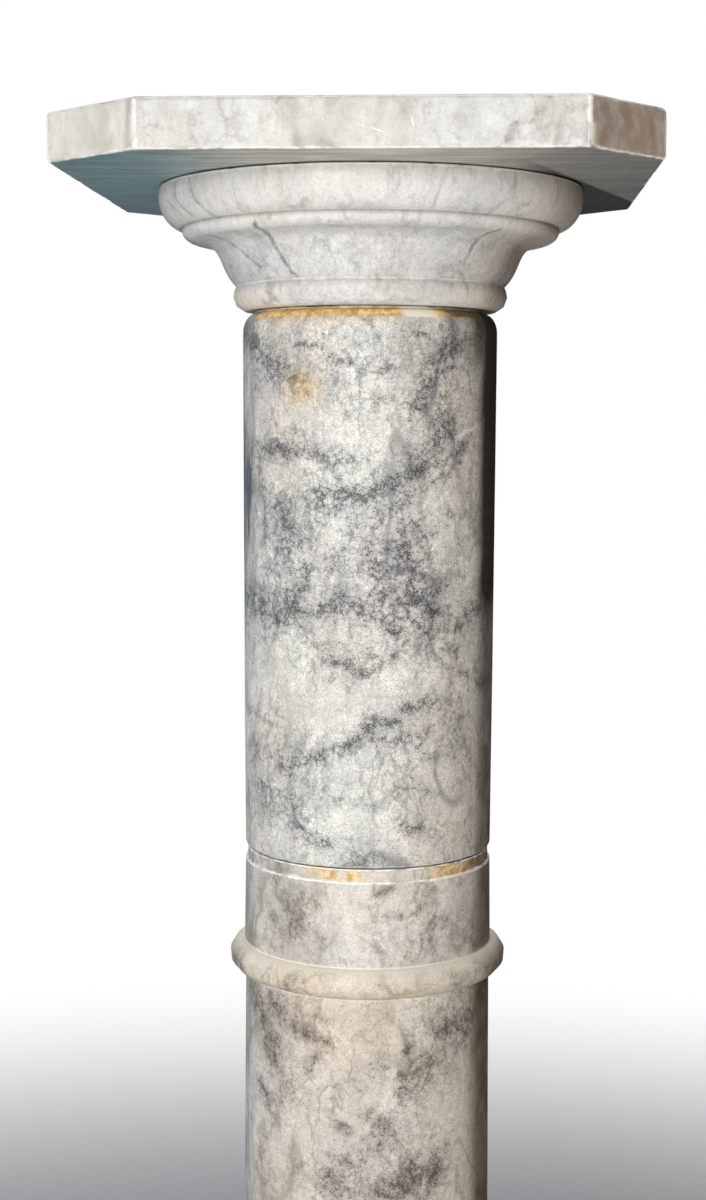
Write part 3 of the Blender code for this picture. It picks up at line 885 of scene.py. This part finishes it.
tree, given, out = new_group("soft clouds", {"Scale": 20.0, "Low": 0.45, "High": 0.65}, "Mask")
clouds_group = tree
field = noise(tree, given["Place"], given["Scale"], 4.0, 0.55)
tree.links.new(fade(tree, field, given["Low"], given["High"]), out)

tree, given, out = new_group(
    "thread veins", {"Scale": 14.0, "Width": 0.03, "Wander": 0.02, "Keep": 0.45}, "Mask"
)
threads_group = tree
bent = pushed(tree, given["Place"], times(tree, given["Scale"], 1.7), given["Wander"], 3.0)
ridge = maths(tree, "ABSOLUTE", minus(tree, noise(tree, bent, given["Scale"]), 0.5))
line = fade(tree, ridge, 0.0, given["Width"], 1.0, 0.0)
broken = noise(tree, given["Place"], times(tree, given["Scale"], 1.3))
broken = fade(tree, broken, given["Keep"], plus(tree, given["Keep"], 0.14))
tree.links.new(times(tree, line, broken), out)

# %% The net between the lumps
tree, given, out = new_group("soft net", {"Scale": 60.0, "Width": 0.2}, "Mask")
net_group = tree
bend = maths(tree, "DIVIDE", 1.9, given["Scale"])
bent = pushed(tree, given["Place"], times(tree, given["Scale"], 1.1), bend, 4.0, 0.6)
cells = {"Vector": bent, "Scale": given["Scale"]}
cells = put(tree, "ShaderNodeTexVoronoi", cells, feature="DISTANCE_TO_EDGE").outputs["Distance"]
tree.links.new(fade(tree, cells, 0.0, given["Width"], 1.0, 0.0), out)

# %% Crumbs and sheets
tree, given, out = new_group("dark crumbs", {"Scale": 900.0, "Amount": 0.0}, "Mask")
crumbs_group = tree
field = noise(tree, given["Place"], given["Scale"], 1.0, 0.6)
gather = noise(tree, given["Place"], times(tree, given["Scale"], 0.27))
gather = times(tree, minus(tree, gather, 0.5), 0.45)
level = minus(tree, 0.68, times(tree, given["Amount"], 0.24))
tree.links.new(fade(tree, plus(tree, field, gather), level, plus(tree, level, 0.09)), out)

sheet = {"Middle": (0.0, 0.0, 0.0), "Across": (1.0, 0.0, 0.0)}
sheet |= {"Width": 0.8 * MM, "Reach": 20 * MM, "Sway": 2 * MM}
tree, given, out = new_group("one sheet", sheet, "Mask")
sheet_group = tree
offset = vector(tree, "SUBTRACT", {0: given["Place"], 1: given["Middle"]})
level = vector(tree, "DOT_PRODUCT", {0: offset, 1: given["Across"]}, "Value")
wobble = minus(tree, noise(tree, given["Place"], 110.0, 3.0), 0.5)
wobble = times(tree, times(tree, wobble, 4.0), given["Sway"])
line = fade(tree, maths(tree, "ABSOLUTE", plus(tree, level, wobble)), 0.0, given["Width"], 1.0, 0.0)
far = vector(tree, "LENGTH", {0: offset}, "Value")
near = fade(tree, far, times(tree, given["Reach"], 0.55), given["Reach"], 1.0, 0.0)
patchy = fade(tree, noise(tree, given["Place"], 260.0), 0.36, 0.56)
tree.links.new(times(tree, times(tree, line, near), patchy), out)

# %% Worn edges and the old polish
tree, given, out = new_group("worn edge", {"Edge": 0.0}, "Mask")
worn_group = tree
uneven = minus(tree, noise(tree, given["Place"], 240.0, 3.0), 0.5)
reach = plus(tree, given["Edge"], times(tree, uneven, 1.3))
tree.links.new(fade(tree, reach, 0.5, 0.95), out)

tree, given, out = new_group("stone skin", {"Pits": 0.4, "Crumbs": 0.0}, "Height")
skin_group = tree
grain = times(tree, noise(tree, given["Place"], 1300.0), 0.35)
ripple = times(tree, noise(tree, given["Place"], 120.0), 0.8)
pits = fade(tree, noise(tree, given["Place"], 420.0, 1.0), 0.62, 0.72)
level = minus(tree, plus(tree, grain, ripple), times(tree, pits, given["Pits"]))
tree.links.new(minus(tree, level, times(tree, given["Crumbs"], 0.3)), out)
print("effects:", [group.name for group in bpy.data.node_groups])

# %% [markdown]
# ## One recipe for seven stones
# The recipe lays colour over colour, as the eye reads marble from broad to fine: a pale ground with
# warm and grey clouds and threads, then the brushed veins with a crackle of thin lines and their dark
# crumbs, and then the stains that age has brought, painted shade on the flanks, under the slab and in
# the quirks, painted warm light and highlights, and worn edges last. Each
# stone gets its own colours and amounts, so that no two look cut from one block, which is how the
# real column was put together.

# %% Paint


def tone(red, green, blue):
    """A colour as the eye names it, 0 to 255, turned into the light that a shader works with."""
    share = np.array([red, green, blue]) / 255
    light = np.where(share <= 0.04045, share / 12.92, ((share + 0.055) / 1.055) ** 2.4)
    return (*light, 1.0)


def lay(tree, mask, strength, colour, paint):
    """Lay one paint over a colour, as thickly as the mask says, times a strength."""
    return mix(tree, times(tree, mask, strength), colour, tone(*paint))


def reading(tree, label):
    """A mark that was written on the stone's points."""
    return put(tree, "ShaderNodeAttribute", attribute_name=label).outputs["Fac"]


# %% The ground
CREAM_AND_WARM_LIGHT = (234, 217, 196)


def ground(tree, place, slant, look):
    """The stone itself, with painted warm light on some right sides: its colour, its fine mottling, and
    where grains gather outside the veins.
    """
    warm = use(tree, clouds_group, {"Place": slant, "Scale": 13.0, "Low": 0.42, "High": 0.62})
    colour = mix(tree, warm, tone(*look["pale"]), tone(*look["warm"]))
    broad = {"Place": slant, "Scale": look["cloud_scale"], "Low": 0.46, "High": 0.68}
    cloudy = use(tree, clouds_group, broad)
    patchy = use(tree, clouds_group, {"Place": slant, "Scale": 62.0, "Low": 0.44, "High": 0.66})
    wide_net = use(tree, net_group, {"Place": slant, "Scale": 58.0, "Width": 0.34})
    for mask, amount in ((cloudy, "cloud"), (patchy, "patches"), (wide_net, "net")):
        colour = lay(tree, mask, look[amount], colour, look["grey"])
    # A creamy tone, and painted warm light on the right sides of the shaft and capital.
    colour = lay(tree, reading(tree, "cream_and_warm_light"), 0.7, colour, CREAM_AND_WARM_LIGHT)
    mottle = noise(tree, place, 260.0, 4.0, 0.65)
    mottled = fade(tree, mottle, 0.42, 0.64, 0.0, look["mottle"])
    colour = mix(tree, mottled, colour, tone(*look["grey"]))
    for scale, width, keep, strength in look["threads"]:
        thread = {"Place": slant, "Scale": scale, "Width": width, "Wander": 0.35 / scale, "Keep": keep}
        colour = lay(tree, use(tree, threads_group, thread), strength, colour, look["vein"])
    grains = plus(tree, times(tree, cloudy, 0.22), times(tree, patchy, 0.14))
    return colour, mottle, grains


# %% The veins


def veined(tree, place, slant, look, colour, grains):
    """The brushed veins: a haze, a crackle of thin lines, a fine dark net, and crumbs over all."""
    uneven = fade(tree, noise(tree, place, 130.0, 5.0, 0.7), 0.34, 0.62, 0.5, 1.12)
    haze = times(tree, reading(tree, "vein"), uneven)
    colour = lay(tree, haze, look["haze"], colour, look["vein"])
    crackle = use(tree, net_group, {"Place": slant, "Scale": 46.0, "Width": 0.075})
    kept = use(tree, clouds_group, {"Place": place, "Scale": 38.0, "Low": 0.40, "High": 0.56})
    crackle = times(tree, times(tree, times(tree, crackle, kept), uneven), look["crackle"])
    colour = mix(tree, crackle, colour, tone(*look["vein"]))
    fine_net = use(tree, net_group, {"Place": place, "Scale": 200.0, "Width": 0.11})
    lines = times(tree, fine_net, plus(tree, times(tree, haze, 1.1), 0.12))
    lines = times(tree, lines, look["lines"], use_clamp=True)
    colour = mix(tree, lines, colour, tone(*look["dark"]))
    for mask, share in ((haze, 0.9), (lines, 0.35), (crackle, 0.3)):
        grains = plus(tree, grains, times(tree, mask, share))
    crumbs = use(tree, crumbs_group, {"Place": place, "Scale": 1500.0, "Amount": grains})
    colour = lay(tree, crumbs, look["crumbs"], colour, look["dark"])
    salt = fade(tree, noise(tree, place, 1500.0, 1.0), 0.33, 0.67, 1 - look["salt"], 1 + look["salt"])
    return shaded(tree, colour, salt), uneven, crumbs


# %% Scratches, streaks of painted shade and single veins
# The blue-grey of the painted shade down the flanks.
FLANK_SHADE = (70, 78, 88)
SCRATCH = (250, 250, 248)


def drawn_over(tree, place, look, colour, uneven):
    """What lies over the veins: scratches, streaks of painted shade down the shaft's flank, and single
    drawn veins.
    """
    for middle, across, width, reach, sway, strength in look["scratches"]:
        sheet = {"Place": place, "Middle": middle, "Across": across, "Width": width, "Reach": reach}
        line = use(tree, sheet_group, sheet | {"Sway": sway})
        colour = lay(tree, line, strength, colour, SCRATCH)
    # Painted shade down the flanks, laid on in streaks.
    streaky = noise(tree, stretched(tree, place, (420.0, 420.0, 26.0)), 1.0, 3.0, 0.6)
    streaky = fade(tree, streaky, 0.36, 0.64, 0.3, 0.9)
    colour = lay(tree, reading(tree, "flank"), streaky, colour, FLANK_SHADE)
    ragged = minus(tree, times(tree, noise(tree, place, 420.0, 3.0, 0.65), 0.7), 0.35)
    line = times(tree, fade(tree, plus(tree, reading(tree, "line"), ragged), 0.35, 0.95), uneven)
    return lay(tree, line, look["line"], colour, look["vein"])


# %% The underside's painted shade
CAST_SHADOW = (30, 34, 32)
SAW_MARK = (70, 78, 80)


def shaded_underside(tree, place, look, colour):
    """The slab's underside in painted shade: three tones from left to right, saw streaks, and a dark
    wedge of painted shadow.
    """
    under = reading(tree, "under")
    ends = put(tree, "ShaderNodeSeparateXYZ", {0: place}).outputs[0]
    left, middle, right = (tone(*paint) for paint in look["under"])
    shade = mix(tree, fade(tree, ends, -0.12, -0.03), left, middle)
    shade = mix(tree, fade(tree, ends, 0.03, 0.13), shade, right)
    saw = noise(tree, stretched(tree, place, (18.0, 150.0, 40.0)), 1.0, 3.0, 0.6)
    shade = mix(tree, fade(tree, saw, 0.38, 0.62, 0.0, 0.55), shade, tone(*SAW_MARK))
    colour = mix(tree, times(tree, under, 0.85), colour, shade)
    # The capital's shadow on the underside's right, painted as a dark wedge.
    slope = vector(tree, "DOT_PRODUCT", {0: place, 1: (-0.935, 0.354, 0.0)}, "Value")
    wedge = times(tree, fade(tree, slope, -0.117, -0.1135), fade(tree, ends, 0.07, 0.10))
    return lay(tree, times(tree, wedge, under), 0.9, colour, CAST_SHADOW)


# %% Age, and painted light and shade
HONEY_DEEP = (192, 146, 68)
HONEY_PALE = (244, 208, 140)
FILLER_AND_HIGHLIGHT = (246, 238, 224)
QUIRK_SHADE = (110, 98, 82)
WORN_AND_HIGHLIGHT_WHITE = (246, 244, 238)
FRESH_BREAK = (236, 230, 220)


def aged(tree, place, look, colour):
    """Honey stains, painted shade on flanks and joints, filler and painted highlights, painted shade in
    the quirks, white worn edges and fresh breaks.
    """
    drips = fade(tree, noise(tree, place, 230.0, 4.0, 0.65), 0.38, 0.62)
    honey = mix(tree, drips, tone(*HONEY_DEEP), tone(*HONEY_PALE))
    colour = mix(tree, times(tree, reading(tree, "stain"), 0.92), colour, honey)
    # Painted brownish shade on the flanks, in the joints and on the slab's right cut.
    colour = lay(tree, reading(tree, "painted_brown_shade"), 0.85, colour, look["painted_brown_shade"])
    # Filler white, which on the collar also paints the highlight on the ledge and the paler top of the
    # ring.
    colour = lay(tree, reading(tree, "filler_and_highlight"), 0.95, colour, FILLER_AND_HIGHLIGHT)
    # Painted shade in the quirks.
    colour = lay(tree, reading(tree, "quirk"), look["quirk"], colour, QUIRK_SHADE)
    worn = use(tree, worn_group, {"Place": place, "Edge": reading(tree, "edge")})
    # White worn edges, which on the collar also paint the highlight on the rim of its sunk band.
    colour = lay(tree, worn, look["worn"], colour, WORN_AND_HIGHLIGHT_WHITE)
    return lay(tree, reading(tree, "knock"), 0.5, colour, FRESH_BREAK), worn


# %% The recipe
MARBLE_IOR = 1.49
GRAIN_HEIGHT = 0.6 * MM


def marble(name, look):
    """One stone's material: colours laid over each other, a roughness and a bump from its grain."""
    material = bpy.data.materials.new(name)
    material.use_nodes = True
    tree = material.node_tree
    tree.nodes.clear()
    place = put(tree, "ShaderNodeTexCoord").outputs["Object"]
    turned = {"Vector": place, "Rotation": look["lean"]}
    turned |= {"Scale": look["stretch"], "Location": look["shift"]}
    slant = put(tree, "ShaderNodeMapping", turned).outputs[0]
    colour, mottle, grains = ground(tree, place, slant, look)
    colour, uneven, crumbs = veined(tree, place, slant, look, colour, grains)
    colour = drawn_over(tree, place, look, colour, uneven)
    if "under" in look:
        colour = shaded_underside(tree, place, look, colour)
    colour, worn = aged(tree, place, look, colour)
    dull = plus(tree, times(tree, mottle, 0.3), look["rough"] - 0.13)
    parts = ((worn, 0.2 * look["worn"]), (crumbs, 0.08), (reading(tree, "painted_brown_shade"), 0.3))
    for mask, share in parts:
        dull = plus(tree, dull, times(tree, mask, share))
    height = use(tree, skin_group, {"Place": place, "Pits": look["pits"], "Crumbs": crumbs})
    bump = {"Height": height, "Strength": look["bump"], "Distance": GRAIN_HEIGHT}
    normal = put(tree, "ShaderNodeBump", bump).outputs[0]
    sockets = {"Base Color": colour, "Roughness": dull, "Normal": normal, "IOR": MARBLE_IOR}
    shader = put(tree, "ShaderNodeBsdfPrincipled", sockets)
    put(tree, "ShaderNodeOutputMaterial", {"Surface": shader.outputs[0]})
    return material


# %% What all the stones have in common
PLAIN_LOOK = {
    "pale": (236, 234, 227), "warm": (230, 222, 210), "grey": (180, 178, 174),
    "vein": (128, 124, 120), "dark": (70, 70, 72), "painted_brown_shade": (84, 58, 30),
    "lean": (0.0, 0.5, 0.3), "stretch": (1.0, 1.0, 0.6), "shift": (0.0, 0.0, 0.0),
    "cloud": 0.5, "cloud_scale": 22.0, "patches": 0.3, "net": 0.15, "mottle": 0.25,
    "threads": [], "haze": 0.6, "lines": 0.3, "crackle": 0.2, "crumbs": 0.4, "salt": 0.05,
    "line": 0.62, "scratches": [], "quirk": 0.5, "worn": 0.8,
    "rough": 0.44, "pits": 0.3, "bump": 0.25,
}

# %% [markdown]
# ## The seven stones
# The slab and the capital are the whitest. The slab has soft veins that lean across its edge, and its
# underside is painted darker as shade, streaked, and bluish at the left end. The shaft's stones are
# greyer and speckled, and they turn pinker downwards.

# %% The slab's and the capital's marble
FRONT = -152.6 * MM
slab_scratches = [
    ((0.028, FRONT, 0.984), (1.0, 0.0, 0.25), 0.5 * MM, 7 * MM, 0.3 * MM, 0.8),
    ((0.010, FRONT, 0.984), (0.25, 0.0, 0.97), 0.5 * MM, 12 * MM, 0.6 * MM, 0.6),
]
slab_look = PLAIN_LOOK | {
    "pale": (213, 214, 213), "warm": (212, 208, 201), "grey": (170, 168, 164),
    # Its brownish colour is the painted shade on the right cut.
    "vein": (118, 110, 104), "painted_brown_shade": (162, 136, 114),
    # The underside's painted shade from left to right, bluish at the left end.
    "under": [(106, 148, 158), (196, 192, 184), (130, 129, 124)],
    "threads": [(24.0, 0.06, 0.47, 0.45), (60.0, 0.05, 0.50, 0.3)], "scratches": slab_scratches,
    "lean": (0.2, 0.7, 0.5), "net": 0.25, "worn": 0.6, "bump": 0.45, "crumbs": 0.25, "line": 0.75,
}
slab.data.materials.append(marble("slab_marble", slab_look))
capital_look = PLAIN_LOOK | {
    "pale": (217, 217, 216), "warm": (216, 213, 207), "grey": (180, 181, 184),
    "vein": (112, 111, 110), "lean": (0.0, 0.25, 0.0), "stretch": (1.6, 1.6, 0.5),
    "threads": [(26.0, 0.045, 0.52, 0.4), (70.0, 0.05, 0.52, 0.2)],
    "crumbs": 0.5, "cloud": 0.35, "quirk": 0.45, "worn": 0.5, "salt": 0.08, "line": 0.85,
}
capital.data.materials.append(marble("capital_marble", capital_look))

# %% The shaft's marbles
upper_look = PLAIN_LOOK | {
    "pale": (236, 236, 230), "warm": (233, 225, 214), "grey": (180, 180, 179),
    "vein": (132, 133, 135), "dark": (56, 58, 63), "cloud": 0.4, "patches": 0.4, "mottle": 0.3,
    "net": 0.35, "lines": 0.78, "crackle": 0.55,
    "threads": [(16.0, 0.035, 0.44, 0.72), (42.0, 0.05, 0.46, 0.45)],
    "haze": 0.62, "crumbs": 0.82, "salt": 0.24, "worn": 0.35, "shift": (0.3, 0.1, 0.2),
    # The colour of the painted shade on the right flank.
    "painted_brown_shade": (46, 38, 27),
}
upper_drum.data.materials.append(marble("upper_drum_marble", upper_look))
collar_look = PLAIN_LOOK | {
    "pale": (236, 236, 233), "warm": (231, 224, 214), "grey": (186, 183, 178),
    "vein": (136, 127, 115), "dark": (84, 74, 62), "cloud": 0.5, "patches": 0.4, "mottle": 0.35,
    "net": 0.25, "lines": 0.5, "crackle": 0.45,
    "threads": [(30.0, 0.05, 0.46, 0.5)], "haze": 0.75, "crumbs": 0.65, "salt": 0.16,
    # Worn white at full strength, which paints the highlight on the rim of the sunk band.
    "worn": 1.0, "shift": (0.7, 0.2, 0.5), "quirk": 0.05,
}
collar.data.materials.append(marble("collar_marble", collar_look))
lower_look = PLAIN_LOOK | {
    "pale": (238, 236, 231), "warm": (234, 222, 212), "grey": (188, 182, 176),
    "vein": (122, 114, 107), "dark": (66, 60, 55), "cloud": 0.5, "patches": 0.4, "mottle": 0.35,
    "net": 0.25, "lines": 0.6, "crackle": 0.4,
    "threads": [(20.0, 0.04, 0.48, 0.4)], "haze": 0.74, "crumbs": 0.78, "salt": 0.18,
    "shift": (1.3, 0.7, 0.9), "worn": 0.4,
}
lower_drum.data.materials.append(marble("lower_drum_marble", lower_look))

# %% The foot's and the plinth's marble
base_look = PLAIN_LOOK | {
    "threads": [(20.0, 0.05, 0.46, 0.55), (50.0, 0.05, 0.5, 0.3)], "shift": (2.1, 1.3, 0.4),
    "cloud": 0.45, "worn": 0.7,
}
base.data.materials.append(marble("base_marble", base_look))
plinth_look = base_look | {"shift": (3.3, 0.9, 2.0), "lean": (0.3, 0.6, 0.2), "bump": 0.4, "worn": 0.9}
plinth.data.materials.append(marble("plinth_marble", plinth_look))
print("materials:", [material.name for material in bpy.data.materials if material.users])

# %% [markdown]
# ## Floor, light and camera
# The floor is a plain pale disc that thins out to nothing at its rim, so that the column stands in
# white from every side. The main light is one soft panel, high at the left of the camera. A weak one
# near the floor opens up the underside of the slab. The surroundings stay dim and cool on the left
# and dark and warm on the right, which, with the shade painted on the shaft's flanks, gives polished
# marble its dusky edges.

# %% Floor
FLOOR_REACH, FLOOR_RINGS, FLOOR_SIDES = 2.4, 30, 96
FLOOR_DROP = 0.5 * MM      # so that the floor and the plinth's underside aren't one plane
turn = np.arange(FLOOR_SIDES) * 2 * np.pi / FLOOR_SIDES
ring_at = np.linspace(FLOOR_REACH, 0.05, FLOOR_RINGS)[:, None]
floor_points = np.stack([ring_at * np.cos(turn), ring_at * np.sin(turn)], axis=-1)
level = np.full((FLOOR_RINGS, FLOOR_SIDES, 1), -FLOOR_DROP)
floor_points = np.concatenate([floor_points, level], axis=-1)
here = np.arange(FLOOR_RINGS * FLOOR_SIDES).reshape(FLOOR_RINGS, FLOOR_SIDES)
after = np.roll(here, -1, axis=1)
faces = np.stack([here[:-1], after[:-1], after[1:], here[1:]], axis=-1).reshape(-1, 4).tolist()
floor_mesh = bpy.data.meshes.new("floor")
floor_mesh.from_pydata(floor_points.reshape(-1, 3).tolist(), [], [*faces, here[-1].tolist()])
floor = bpy.data.objects.new("floor", floor_mesh)
bpy.context.scene.collection.objects.link(floor)

floor_material = bpy.data.materials.new("floor")
floor_material.use_nodes = True
tree = floor_material.node_tree
tree.nodes.clear()
place = put(tree, "ShaderNodeTexCoord").outputs["Object"]
thin = fade(tree, vector(tree, "LENGTH", {0: place}, "Value"), 0.85, 1.85)
dust = fade(tree, noise(tree, place, 300.0, 3.0), 0.3, 0.7, 0.92, 1.04)
shade = shaded(tree, tone(134, 136, 139), dust)
paint = put(tree, "ShaderNodeBsdfPrincipled", {"Base Color": shade, "Roughness": 0.7})
clear = put(tree, "ShaderNodeBsdfTransparent")
both = put(tree, "ShaderNodeMixShader", {0: thin, 1: paint.outputs[0], 2: clear.outputs[0]})
put(tree, "ShaderNodeOutputMaterial", {"Surface": both.outputs[0]})
floor_mesh.materials.append(floor_material)

# %% Surroundings
scene = bpy.context.scene
scene.view_settings.view_transform = "Standard"
world = bpy.data.worlds.new("studio")
scene.world = world
world.use_nodes = True
tree = world.node_tree
tree.nodes.clear()
way = put(tree, "ShaderNodeTexCoord").outputs["Generated"]
parts = put(tree, "ShaderNodeSeparateXYZ", {0: way}).outputs
sides = mix(tree, fade(tree, parts[0], -0.5, 0.7), (0.13, 0.15, 0.17, 1.0), (0.035, 0.028, 0.02, 1.0))
front = fade(tree, parts[1], 0.2, -0.9)
around_us = mix(tree, front, sides, (0.10, 0.10, 0.098, 1.0))
around_us = mix(tree, fade(tree, parts[2], 0.55, 1.0), around_us, (1.1, 1.1, 1.1, 1.0))
seen = put(tree, "ShaderNodeLightPath").outputs["Is Camera Ray"]
white = mix(tree, seen, around_us, (1.0, 1.0, 1.0, 1.0))
back = put(tree, "ShaderNodeBackground", {"Color": white})
put(tree, "ShaderNodeOutputWorld", {"Surface": back.outputs[0]})

# %% Lights


def panel(name, place, aim, width, height, power, colour):
    """A soft light panel at one point, turned to face another."""
    light = bpy.data.lights.new(name, "AREA")
    light.shape = "RECTANGLE"
    light.size, light.size_y = width, height
    light.energy, light.color = power, colour
    holder = bpy.data.objects.new(name, light)
    place, aim = np.array(place), np.array(aim)
    ahead = (aim - place) / np.linalg.norm(aim - place)
    right = np.cross(ahead, (0, 0, 1))
    right /= np.linalg.norm(right)
    up = np.cross(right, ahead)
    holder.matrix_world = Matrix(
        [[right[k], up[k], -ahead[k], place[k]] for k in range(3)] + [[0, 0, 0, 1]]
    )
    holder.visible_camera = False
    holder.visible_glossy = name != "back"
    scene.collection.objects.link(holder)
    return light


panel("key", (-0.82, -3.0, 1.05), (0.0, 0.0, 0.72), 1.1, 1.5, 85, (1.0, 0.99, 0.97))
under = panel("under_fill", (-0.05, -0.62, 0.06), (0.0, -0.15, 1.0), 0.5, 0.25, 0.44, (1.0, 0.97, 0.92))
under.spread = np.radians(45)
panel("left_cool", (-2.1, 1.0, 1.3), (0.0, 0.0, 0.7), 1.0, 1.4, 8, (0.80, 0.90, 1.0))
panel("right_warm", (1.3, -1.8, 0.35), (0.0, 0.0, 0.55), 0.7, 0.7, 4, (1.0, 0.84, 0.68))
panel("back", (-0.3, 2.6, 1.6), (0.0, 0.0, 0.7), 1.2, 1.2, 40, (1.0, 0.98, 0.96))

# %% [markdown]
# The camera stands a little under the slab, so that its underside shows, and looks slightly down. Its
# height, distance and lens come from the slab's corners and the shaft's rings, as the photograph
# shows them.

# %% Camera
IMAGE_HEIGHT = 1200
FOCAL_PIXELS = 1883.3
SENSOR = 36      # mm
camera_data = bpy.data.cameras.new("camera")
camera_data.sensor_fit = "VERTICAL"
camera_data.sensor_height = SENSOR
camera_data.sensor_width = SENSOR
camera_data.lens = FOCAL_PIXELS / IMAGE_HEIGHT * SENSOR
camera = bpy.data.objects.new("camera", camera_data)
scene.collection.objects.link(camera)
turn_left, look_down, lean = np.radians([3.48, 5.22, 0.216])
camera.matrix_world = (
    Matrix.Translation((0.0540, -1.0317, 0.8473))
    @ Matrix.Rotation(turn_left, 4, "Z")
    @ Matrix.Rotation(np.pi / 2 - look_down, 4, "X")
    @ Matrix.Rotation(lean, 4, "Z")
)
scene.camera = camera
